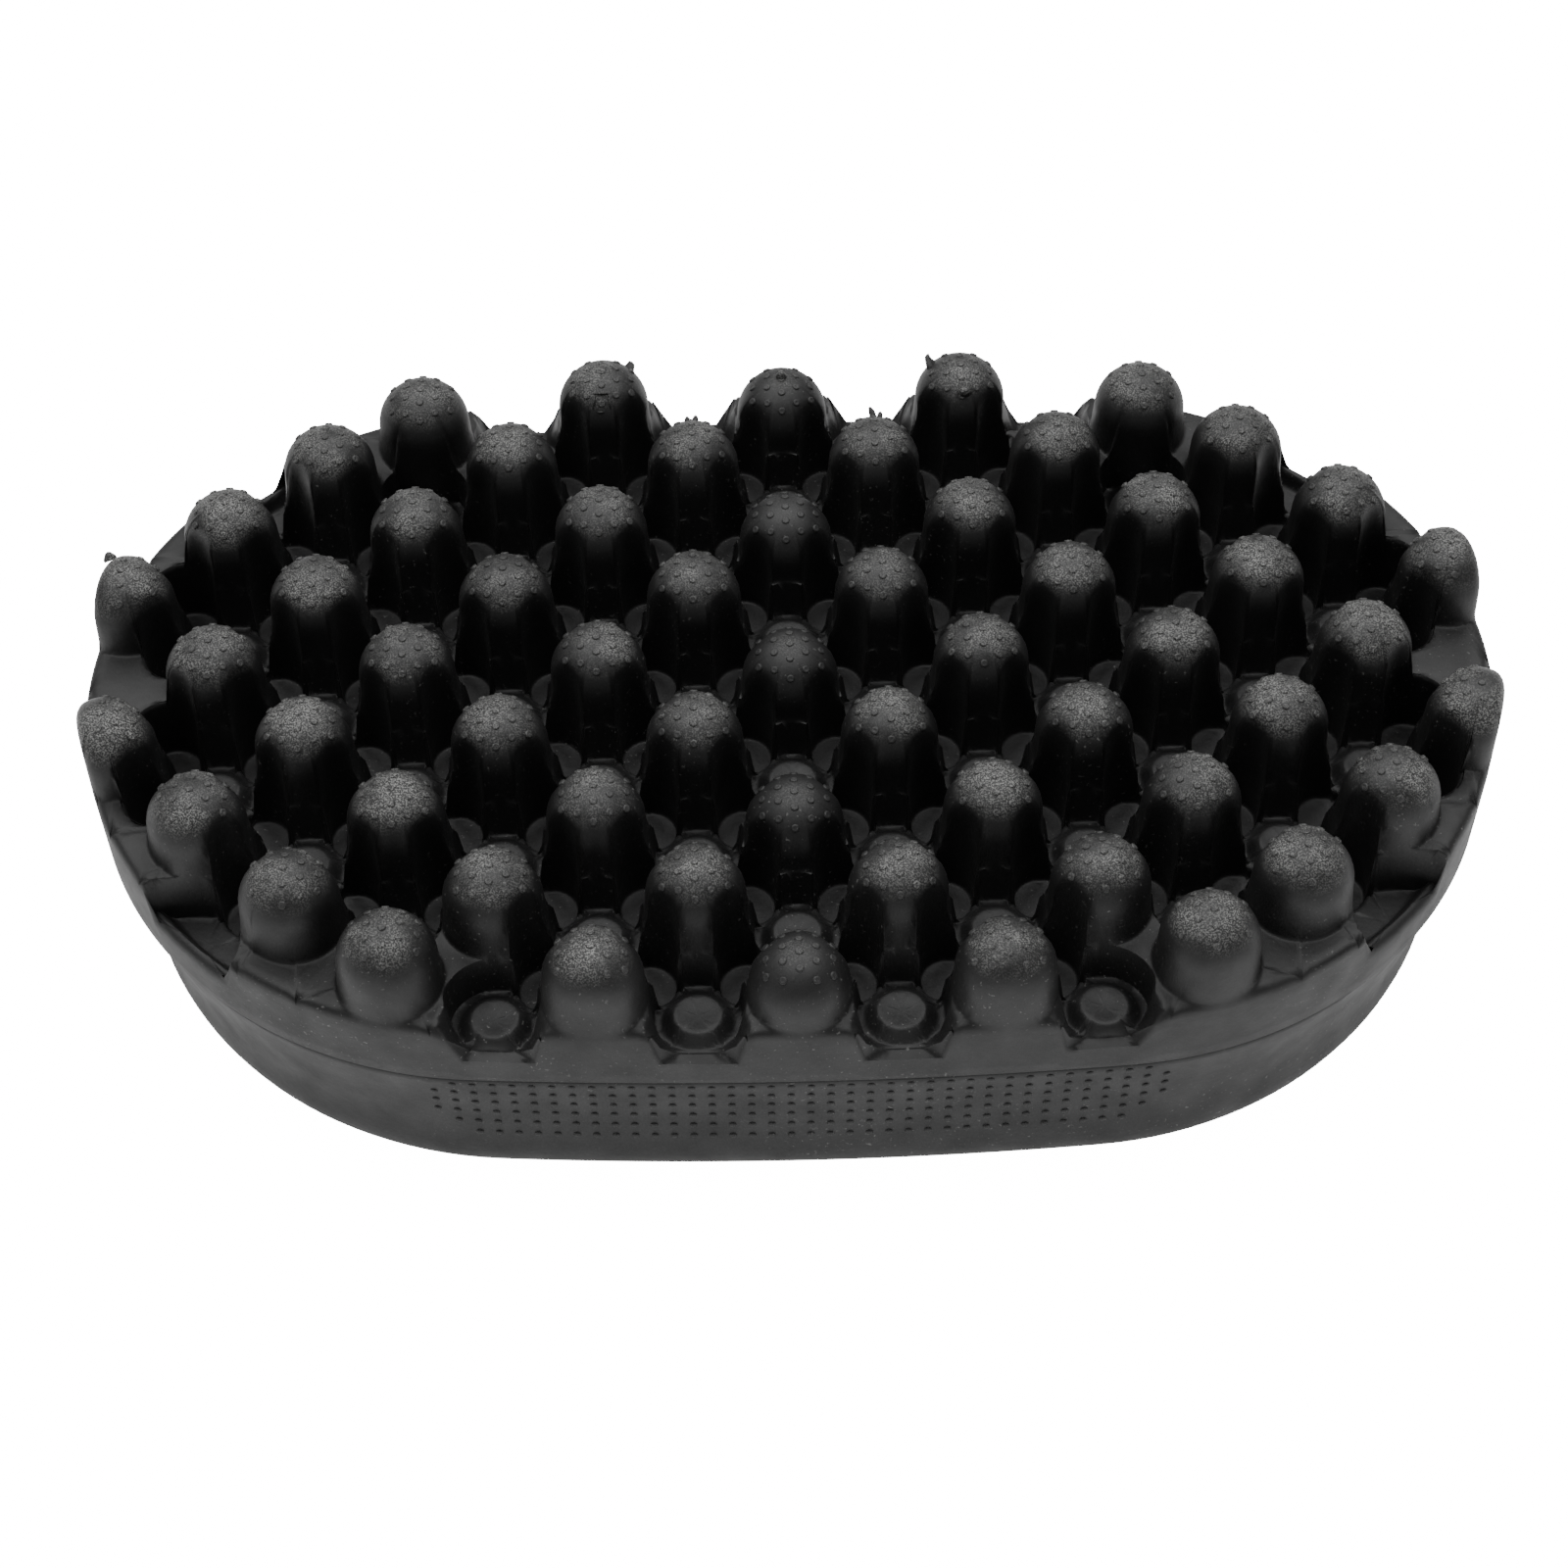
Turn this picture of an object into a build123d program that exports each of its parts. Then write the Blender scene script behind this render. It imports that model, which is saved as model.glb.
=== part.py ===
"""Massage curry comb: a nubbed rubber pad plugged and bonded into a hollow rubber grip body.

Frame: millimetres, +Z up, X along the length. The origin is the middle of the flat back face that the
comb rests on, so the massage nubs point up.
"""
from build123d import *
from math import atan2, degrees, pi, sin, sqrt
import os

os.makedirs("parts", exist_ok=True)

# ---------------------------------------------------------------- driving dimensions
half_pitch = 9.0                    # half the spacing of the nubs along one row
rim_half_width = 4.5 * half_pitch
rim_half_length = 7.38 * half_pitch
side_bow = 0.9                      # how much more half width than end radius every outline has

seam_z = 18.3                       # parting plane between grip body and pad
deck_z = 26.1                       # plateau of the pad between nubs and rim
crown_z = 28.98                     # centre height of the round nub tips in the middle of the pad
cup_floor_z = 22.0                  # moat floor of the round cups between four nubs
cup_disc_z = 23.2                   # raised disc in the middle of each cup
gate_floor_z = 22.3                 # lip over which a cup beside the rim opens to the outside
pocket_floor_z = 20.7               # flat floor of the small pockets between two neighbouring nubs

# ---------------------------------------------------------------- pad
seam_half_width = 40.3
seam_half_length = 66.2
rim_round = 0.9
nub_tip_radius = 0.50 * half_pitch
nub_foot_radius = 0.56 * half_pitch      # at the root, below the floor of the pockets
nub_root_z = pocket_floor_z - 1.0
end_nub_rise = 0.12 * half_pitch         # how much taller the nubs at the two ends stand
middle_nub_drop = 0.16 * half_pitch      # how much shorter the nubs on the short centre line stand
corner_row_shift = 0.25 * half_pitch     # the four corner nubs of the outer rows sit this much inwards
pocket_foot_radius = 0.30 * half_pitch
pocket_mouth_radius = 0.325 * half_pitch
pocket_mouth_z = crown_z + 0.32 * half_pitch
pocket_top_z = crown_z + nub_tip_radius + end_nub_rise + 1.0
cup_foot_radius = 0.44 * half_pitch
cup_mouth_radius = 0.47 * half_pitch
gate_width = 0.84 * half_pitch
gate_length = 1.2 * half_pitch           # from the middle of the cup out past the rim
disc_radius = 0.22 * half_pitch
disc_root = 0.5                          # how deep a disc is rooted in the floor of its cup
seam_chamfer = 0.25                      # on both mouldings: together they draw the seam line

# ---------------------------------------------------------------- grip body
lip_inset = 0.2                          # the body's lip stands this far inside the pad's edge
lip_half_width = seam_half_width - lip_inset
lip_half_length = seam_half_length - lip_inset
lip_z = seam_z - seam_chamfer
scoop_depth = 1.15                       # how far the finger scoop draws the side walls in
scoop_reach = 0.55                       # share of the body's height over which it does so
hip_flare = 0.3                          # how far the side walls come out again below the scoop
end_taper = 1.5                          # further draw-in of the two ends
end_taper_reach = 0.8
base_round = 6.0                         # rounding between side wall and back face
scoop_steps = 8
round_steps = 7
floor_thickness = 3.5
cavity_foot_half_width = 34.0
cavity_foot_half_length = 57.2
cavity_round = 2.5

# The pad's plug ring sits in the mouth of the body.
mouth_wall = 3.5
mouth_half_width = lip_half_width - mouth_wall
mouth_half_length = lip_half_length - mouth_wall
mouth_depth = 3.6
ledge_width = 0.5                        # step between the mouth and the cavity below it
plug_clearance = 0.10
plug_depth = 3.5
plug_thickness = 2.4
plug_half_width = mouth_half_width - plug_clearance
plug_half_length = mouth_half_length - plug_clearance

rib_thickness = 2.0
rib_gap = 0.3                            # between the ribs and the pad's underside
rib_clearance = 0.5                      # between the ribs' ends and the foot of the cavity's wall
cross_rib_pitch = 26.0
cross_rib_count = 3


def oval(half_width, half_length, mode=Mode.ADD):
    """Draws an oval into the current sketch: two end arcs joined by two long, slightly bowed side arcs."""
    end_radius = half_width - side_bow
    end_x = half_length - end_radius
    side_radius = (end_x ** 2 + half_width ** 2 - end_radius ** 2) / (2 * side_bow)
    side_y = side_radius - half_width
    joint_angle = degrees(atan2(side_y, end_x))
    side_sweep = 180 - 2 * joint_angle
    with BuildLine() as outline:
        CenterArc((end_x, 0), end_radius, -joint_angle, 2 * joint_angle)
        CenterArc((0, -side_y), side_radius, joint_angle, side_sweep)
        CenterArc((-end_x, 0), end_radius, 180 - joint_angle, 2 * joint_angle)
        CenterArc((0, side_y), side_radius, 180 + joint_angle, side_sweep)
    make_face(outline.edges(), mode=mode)


def wall_outline(level):
    """Gives the half width and half length of the grip body's outline at a height."""
    drop = (lip_z - level) / lip_z
    scoop = sin(min(drop / scoop_reach, 1) * pi / 2)
    below_scoop = max(drop - scoop_reach, 0) / (1 - scoop_reach)
    taper = sin(min(drop / end_taper_reach, 1) * pi / 2)
    rounding = 0
    if level < base_round:
        rounding = base_round - sqrt(base_round ** 2 - (base_round - level) ** 2)
    draw_in = scoop_depth * scoop - hip_flare * below_scoop + rounding
    return lip_half_width - draw_in, lip_half_length - draw_in - end_taper * taper


def wall_levels():
    """Yields the heights of the grip body's outlines, from the back face up to the lip."""
    for step in range(round_steps, 0, -1):
        yield base_round * (1 - sin(step / round_steps * pi / 2))
    for step in range(scoop_steps + 1):
        yield base_round + (lip_z - base_round) * step / scoop_steps


def nub_places():
    """Yields the place and tip centre height of every nub: nine staggered rows across the pad."""
    columns_in_row = {4: range(-4, 5, 2), 3: range(-5, 6, 2), 2: range(-6, 7, 2), 1: range(-7, 8, 2),
                      0: range(-6, 7, 2)}
    for row in range(-4, 5):
        for column in columns_in_row[abs(row)]:
            x = column * half_pitch
            y = row * half_pitch
            if abs(row) == 4 and abs(column) == 4:
                y -= corner_row_shift * (1 if row > 0 else -1)
            z = crown_z + end_nub_rise * (column / 7) ** 2
            if column == 0:
                z -= middle_nub_drop
            yield column, row, x, y, z


nubs = list(nub_places())
nub_cells = {(column, row) for column, row, x, y, z in nubs}

# A cup lies between four nubs; the outer rows have cups that open through the rim.
cup_columns_in_row = {4: range(-3, 4, 2), 3: range(-6, 7, 2), 2: range(-5, 6, 2), 1: range(-6, 7, 2),
                      0: range(-5, 6, 2)}
cup_cells = [(column, row) for row in range(-4, 5) for column in cup_columns_in_row[abs(row)]]
cup_places = [(column * half_pitch, row * half_pitch) for column, row in cup_cells]

# The gates of the cups beside the rim: across it in the outer rows, slanting outwards in the four
# corner cups. Those four have no disc.
gates = []
disc_places = []
for column, row in cup_cells:
    in_corner = abs(column) == 6 and abs(row) == 3
    if in_corner:
        gates.append((column * half_pitch, row * half_pitch, degrees(atan2(row / 3, column / 6))))
    else:
        disc_places.append((column * half_pitch, row * half_pitch))
    if abs(row) == 4:
        gates.append((column * half_pitch, row * half_pitch, 90 if row > 0 else -90))

# A pocket lies halfway between each nub and its nearest neighbours in the next row, except beside the
# four corner nubs of the outer rows.
pocket_places = []
for column, row in nub_cells:
    for side in (-1, 1):
        corner_pair = 4 in (abs(row), abs(row + 1)) and 4 in (abs(column), abs(column + side))
        if (column + side, row + 1) in nub_cells and not corner_pair:
            pocket_places.append(((column + side / 2) * half_pitch, (row + 0.5) * half_pitch))
pocket_places.sort()

# ---------------------------------------------------------------- massage pad
# The nubs on their own: a slightly conical shaft under a round tip, cut flush with the skirt.
with BuildPart() as nub_field:
    for column, row, x, y, z in nubs:
        with BuildSketch(Plane.XZ.offset(-y)):
            with BuildLine():
                Polyline((x, z), (x, nub_root_z), (x + nub_foot_radius, nub_root_z), (x + nub_tip_radius, z))
                Line((x, z), (x, z + nub_tip_radius))
                CenterArc((x, z), nub_tip_radius, 0, 90)
            make_face()
        revolve(axis=Axis((x, y, 0), (0, 0, 1)))
    with BuildSketch(Plane.XY.offset(nub_root_z)):
        oval(rim_half_width, rim_half_length)
    extrude(amount=pocket_top_z - nub_root_z, mode=Mode.INTERSECT)

with BuildPart() as massage_pad:
    # Deck and skirt, slightly narrower at the seam than at the rim.
    with BuildSketch(Plane.XY.offset(seam_z)):
        oval(seam_half_width - seam_chamfer, seam_half_length - seam_chamfer)
    with BuildSketch(Plane.XY.offset(seam_z + seam_chamfer)):
        oval(seam_half_width, seam_half_length)
    with BuildSketch(Plane.XY.offset(deck_z)):
        oval(rim_half_width, rim_half_length)
    loft(ruled=True)
    fillet(massage_pad.faces().sort_by(Axis.Z)[-1].edges(), rim_round)

    # Round cups with slightly conical walls, and the gates of those beside the rim.
    with Locations(*[(x, y, cup_floor_z) for x, y in cup_places]):
        Cone(cup_foot_radius, cup_mouth_radius, deck_z - cup_floor_z, mode=Mode.SUBTRACT,
             align=(Align.CENTER, Align.CENTER, Align.MIN))
    with Locations(*[Location((x, y, gate_floor_z), (0, 0, angle)) for x, y, angle in gates]):
        Box(gate_length, gate_width, deck_z - gate_floor_z, mode=Mode.SUBTRACT,
            align=(Align.MIN, Align.CENTER, Align.MIN))

    add(nub_field.part)

    # Pockets that flute the nubs on their diagonal sides.
    taper_rate = (pocket_mouth_radius - pocket_foot_radius) / (pocket_mouth_z - pocket_floor_z)
    pocket_height = pocket_top_z - pocket_floor_z
    pocket_top_radius = pocket_foot_radius + taper_rate * pocket_height
    with Locations(*[(x, y, pocket_floor_z) for x, y in pocket_places]):
        Cone(pocket_foot_radius, pocket_top_radius, pocket_height, mode=Mode.SUBTRACT,
             align=(Align.CENTER, Align.CENTER, Align.MIN))

    # Discs in the cups.
    with Locations(*[(x, y, cup_floor_z - disc_root) for x, y in disc_places]):
        Cylinder(disc_radius, cup_disc_z - cup_floor_z + disc_root,
                 align=(Align.CENTER, Align.CENTER, Align.MIN))

    # Plug ring that locates the pad in the mouth of the grip body.
    with BuildSketch(Plane.XY.offset(seam_z - plug_depth)):
        oval(plug_half_width, plug_half_length)
    extrude(amount=plug_depth)
    with BuildSketch(Plane.XY.offset(seam_z - plug_depth)):
        oval(plug_half_width - plug_thickness, plug_half_length - plug_thickness)
    extrude(amount=plug_depth, mode=Mode.SUBTRACT)

massage_pad.part.label = "massage_pad"
export_step(massage_pad.part, "parts/massage_pad.step")

# ---------------------------------------------------------------- grip body
with BuildPart() as grip_body:
    # Side wall in narrow bands: rounded back edge, hip, finger scoop and the chamfered lip at the seam.
    for level in wall_levels():
        with BuildSketch(Plane.XY.offset(level)):
            oval(*wall_outline(level))
    with BuildSketch(Plane.XY.offset(seam_z)):
        oval(lip_half_width - seam_chamfer, lip_half_length - seam_chamfer)
    loft(ruled=True)

    # Cavity, and above it the mouth that takes the pad's plug ring.
    with BuildSketch(Plane.XY.offset(floor_thickness)):
        oval(cavity_foot_half_width, cavity_foot_half_length)
    with BuildSketch(Plane.XY.offset(seam_z - mouth_depth)):
        oval(mouth_half_width - ledge_width, mouth_half_length - ledge_width)
    loft(ruled=True, mode=Mode.SUBTRACT)
    with BuildSketch(Plane.XY.offset(seam_z - mouth_depth)):
        oval(mouth_half_width, mouth_half_length)
    extrude(amount=mouth_depth, mode=Mode.SUBTRACT)
    cavity_floor = grip_body.faces().filter_by(Axis.Z).filter_by_position(Axis.Z, 1, floor_thickness + 1)
    fillet(cavity_floor.edges(), cavity_round)

    # Stiffening ribs that hold the pad's deck up: one along the middle, the others across it.
    with BuildSketch(Plane.XY.offset(floor_thickness / 2)):
        Rectangle(2 * mouth_half_length, rib_thickness)
        with GridLocations(cross_rib_pitch, 0, cross_rib_count, 1):
            Rectangle(rib_thickness, 2 * mouth_half_width)
        oval(cavity_foot_half_width - rib_clearance, cavity_foot_half_length - rib_clearance, Mode.INTERSECT)
    extrude(amount=seam_z - rib_gap - floor_thickness / 2)
grip_body.part.label = "grip_body"
export_step(grip_body.part, "parts/grip_body.step")
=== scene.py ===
"""A black rubber massage curry comb on a pale floor, in soft studio light.

The pad's top is one surface, which a function describes. Every nub, cup and pocket owns the part of it
around itself, and meshes that part as a web: spokes from its middle to its edge, crossed by rings. The
grip body is a stack of ovals. Tip bumps and grip dots are small raised domes.

Shapes are worked out in pitches, half the spacing of the nubs along a row, with heights measured from
the plane through the round tips' centres, and turned into metres at the end.
"""
from math import atan2, ceil, cos, hypot, pi, radians, sin, sqrt

import bmesh
import bpy
import numpy as np
from mathutils import Matrix, Vector


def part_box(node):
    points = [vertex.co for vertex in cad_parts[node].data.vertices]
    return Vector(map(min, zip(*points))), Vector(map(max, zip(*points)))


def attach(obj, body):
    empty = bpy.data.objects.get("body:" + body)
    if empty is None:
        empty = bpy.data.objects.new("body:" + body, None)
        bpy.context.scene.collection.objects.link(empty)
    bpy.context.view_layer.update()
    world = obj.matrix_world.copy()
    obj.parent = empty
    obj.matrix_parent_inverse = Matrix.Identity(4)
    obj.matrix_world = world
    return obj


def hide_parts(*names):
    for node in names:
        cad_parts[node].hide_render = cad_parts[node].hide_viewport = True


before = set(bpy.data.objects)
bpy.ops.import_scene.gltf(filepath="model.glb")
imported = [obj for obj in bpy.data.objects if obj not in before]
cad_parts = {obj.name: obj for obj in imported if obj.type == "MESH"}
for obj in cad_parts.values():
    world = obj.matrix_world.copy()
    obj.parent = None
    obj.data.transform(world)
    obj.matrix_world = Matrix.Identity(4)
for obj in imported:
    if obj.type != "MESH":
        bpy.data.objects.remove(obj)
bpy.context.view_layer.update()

# ---------------------------------------------------------------- sizes
pad_low, pad_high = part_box("massage_pad")
grip_low, grip_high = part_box("grip_body")
PITCH = (pad_high[1] - pad_low[1]) / 9          # the pad is nine pitches wide
MM = 0.001 / PITCH                              # a millimetre, in pitches

TIP_RADIUS = 0.50
END_NUB_RISE = 0.12                             # the nubs at the two ends stand taller
MIDDLE_NUB_DROP = 0.16                          # those on the short centre line are shorter
CROWN_Z = pad_high[2] - (TIP_RADIUS + END_NUB_RISE) * PITCH
SHAFT_DRAFT = 0.068                             # how much a shaft widens per unit of depth

DECK = -0.32
DECK_END_RISE = 0.17                            # the deck climbs towards the two ends,
DECK_RISE_FROM, DECK_RISE_TO = 4.6, 7.0         # between these distances from the middle
CUP_FLOOR = -0.775
CUP_DISC = -0.642
DISC_SHOULDER = (0.22, 0.38)                    # a disc's edge slopes down between these radii
DISC_DIMPLE = (0.04, 0.24)
DISC_DIMPLE_DEPTH = 0.03
CUP_FOOT_RADIUS = 0.445
CUP_STEEPNESS = 12.0                            # rise of a cup's wall per unit of radius
CUP_FOOT_ROUND = 0.04
CUP_MOUTH_ROUND = 0.05
CUP_REACH = 0.75                                # a cup shapes the deck this far from its middle
POCKET_FLOOR = -0.92
POCKET_FOOT_RADIUS = 0.30
POCKET_DRAFT = 0.020
POCKET_FOOT_ROUND = 0.05
BASE = (grip_low[2] - CROWN_Z) / PITCH
SEAM = (grip_high[2] - CROWN_Z) / PITCH

RIM = (4.5, 7.38)                               # half width and half length
SIDE_BOW = 0.1
SEAM_OUTLINE = (40.3 * MM, 66.2 * MM)
SEAM_CHAMFER = 0.25 * MM
FOOT_FILLET = 0.05
FLUTE_ROUND = 0.07
RIM_ROUND = 0.13

WEB_RINGS = {"nub": 22, "cup": 15, "pocket": 12}
POCKET_REACH = 0.34                             # radius of the part that a pocket owns
NUB_WEIGHT = 0.04                               # moves the border with a cup away from the nub
EDGE_STEP = 0.07                                # spacing of points along the borders of parts
RIM_STEP = 0.09
FINE_STEPS = 200                                # samples along a spoke, for spacing the rings
HALVINGS = 24                                   # steps of the search for the surface's height
REACH = 2.1                                     # nubs, cups and pockets farther away don't matter
FAR = 9.0
BEND_WEIGHT = 0.25                              # extra length per radian of turn, for spacing rings
SKIRT_RINGS = 5
SHARP_ANGLE = 60                                # degrees between faces

# gates, where the cups beside the rim run out through it
GATE_REACH = 0.82                               # below 1, it stretches a cup's outer side towards the rim
GATE_MOUTH_ROUND = 0.12                         # extra rounding of the cup's mouth
GATE_SET_BACK = 0.10                            # how far the skirt draws in,
GATE_SLOPE = 0.03                               # over this drop below the cup's floor
GATE_EDGE_ROUND = 0.04
GATE_STEEPNESS = 3.0
GATE_FOOT_RADIUS = 0.345
GATE_FOOT_ROUND = 0.25
GATE_FROM_RIM = (0.15, 0.45)                    # a gate's own shape fades out between these depths
GATE_HALF_WIDTH = (0.20, 0.46)
LIP_RISE = 0.17                                 # the low lip of a corner cup
LIP_FROM_RIM = (0.09, 0.20)
LIP_FROM_MIDDLE = (4.6, 5.2)

PLUG = (36.5 * MM, 62.4 * MM)                   # the ring under the pad that plugs into the grip body
PLUG_DEPTH = 3.5 * MM
PLUG_THICKNESS = 2.4 * MM

# the grip body, in millimetres
LIP_Z = 18.05
LIP_HALF_WIDTH = 40.1
LIP_HALF_LENGTH = 66.0
SCOOP_DEPTH = 1.15
SCOOP_REACH = 0.55
HIP_FLARE = 0.3
END_TAPER = 1.5
END_TAPER_REACH = 0.8
BASE_ROUND = 6.0
FLOOR_THICKNESS = 3.5
CAVITY_FOOT = (34.0, 57.2)
CAVITY_ROUND = 2.5
MOUTH = (36.6, 62.5)
MOUTH_DEPTH = 3.6
LEDGE = 0.5
GRIP_ARC_STEPS = (64, 60, 64, 60)               # points along each arc of its ovals
WALL_STEPS = 14
BASE_STEPS = 10
CAVITY_STEPS = 6

BUMP_COLUMN_PITCH = 0.163
BUMP_ROW_PITCH = 0.178
BUMP_RIM_MARGIN = 0.16                          # no bumps nearer to the rim than this
BUMP_FIELD = 0.38                               # tip bumps lie within this distance of a nub's axis
BUMP_RADIUS = 0.044
BUMP_HEIGHT = 0.014
DOT_COLUMNS = 38                                # grip dots, in millimetres
DOT_PITCH = 1.78
DOT_TOP = 1.0
DOT_ROW_PITCH = 1.8
DOT_ROW_TRIMS = (1, 0, 0, 0, 1, 2)
DOT_RADIUS = 0.36
DOT_HEIGHT = 0.18

RUBBER_DARK = (0.006, 0.006, 0.006, 1)
RUBBER_LIGHT = (0.010, 0.010, 0.010, 1)
# colour of the dust specks, and of the dust with painted top sheen on the nubs' tips
DUST_AND_SHEEN = (0.33, 0.33, 0.32, 1)
DUST_AND_SHEEN_FROM, DUST_AND_SHEEN_TO = 0.28, 0.50               # dust and painted top sheen lighten the tips, between these heights
BUMP_PAINTED_HIGHLIGHT = 2.6                                 # how much lighter the tip bumps are painted, a painted highlight on them
HORIZON_LIGHT = 0.60
SKY_LIGHT = 0.12
FLOOR_GLOW = 0.45                               # light that the floor casts on the object
FLOOR_WHITE = 16.0                              # how bright it looks to the camera


# ---------------------------------------------------------------- ovals
class Oval:
    """Two end arcs joined by two long, slightly bowed side arcs. A place on it is 0 to 4, an arc each."""

    def __init__(self, half_width, half_length):
        self.end_radius = half_width - SIDE_BOW
        self.end_x = half_length - self.end_radius
        self.side_radius = (self.end_x ** 2 + half_width ** 2 - self.end_radius ** 2) / (2 * SIDE_BOW)
        self.side_y = self.side_radius - half_width
        self.joint = atan2(self.side_y, self.end_x)

    def point(self, place):
        arc = int(place) % 4
        share = place - int(place)
        sweep = 2 * self.joint if arc % 2 == 0 else pi - 2 * self.joint
        start = (-self.joint, self.joint, pi - self.joint, pi + self.joint)[arc]
        angle = start + share * sweep
        centre_x = (self.end_x, 0, -self.end_x, 0)[arc]
        centre_y = (0, -self.side_y, 0, self.side_y)[arc]
        radius = self.end_radius if arc % 2 == 0 else self.side_radius
        return centre_x + radius * cos(angle), centre_y + radius * sin(angle)

    def inside(self, x, y):
        """How far inside the oval the points (x, y) lie."""
        x, y = np.abs(x), np.abs(y)
        in_end = np.arctan2(y, x - self.end_x) < self.joint
        from_end = self.end_radius - np.hypot(x - self.end_x, y)
        from_side = self.side_radius - np.hypot(x, y + self.side_y)
        return np.where(in_end, from_end, from_side)


rim = Oval(*RIM)

# ---------------------------------------------------------------- layout of nubs, cups and pockets
LAST_NUB = {4: 4, 3: 5, 2: 6, 1: 7, 0: 6}       # the outermost column in a row; every second one is used
LAST_CUP = {4: 3, 3: 6, 2: 5, 1: 6, 0: 5}
CORNER_ROW_SHIFT = 0.25


def every_second(last, row):
    return range(-last[abs(row)], last[abs(row)] + 1, 2)


nubs = {}
for row in range(-4, 5):
    for column in every_second(LAST_NUB, row):
        at_corner = abs(row) == 4 and abs(column) == 4
        y = row - (CORNER_ROW_SHIFT * (1 if row > 0 else -1) if at_corner else 0)
        crown = END_NUB_RISE * (column / 7) ** 2 - (MIDDLE_NUB_DROP if column == 0 else 0)
        nubs[column, row] = (column, y, crown)

cups = [(column, row) for row in range(-4, 5) for column in every_second(LAST_CUP, row)]

pockets = []
for column, row in nubs:
    for side in (-1, 1):
        other = (column + side, row + 1)
        columns = {abs(column), abs(column + side)}
        rows = {abs(row), abs(row + 1)}
        if other in nubs and not (rows == {3, 4} and 4 in columns):
            pockets.append((column + side / 2, row + 0.5))


# ---------------------------------------------------------------- the pad's surface
def soft_min(a, b, reach):
    """The smaller of two distances, rounded where they are nearly equal."""
    overlap = np.maximum(reach - np.abs(a - b), 0) / reach
    return np.minimum(a, b) - overlap ** 2 * reach / 4


def soft_max(a, b, reach):
    return -soft_min(-a, -b, reach)


def ramp(value, low, high):
    share = np.clip((value - low) / (high - low), 0, 1)
    return share * share * (3 - 2 * share)


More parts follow.
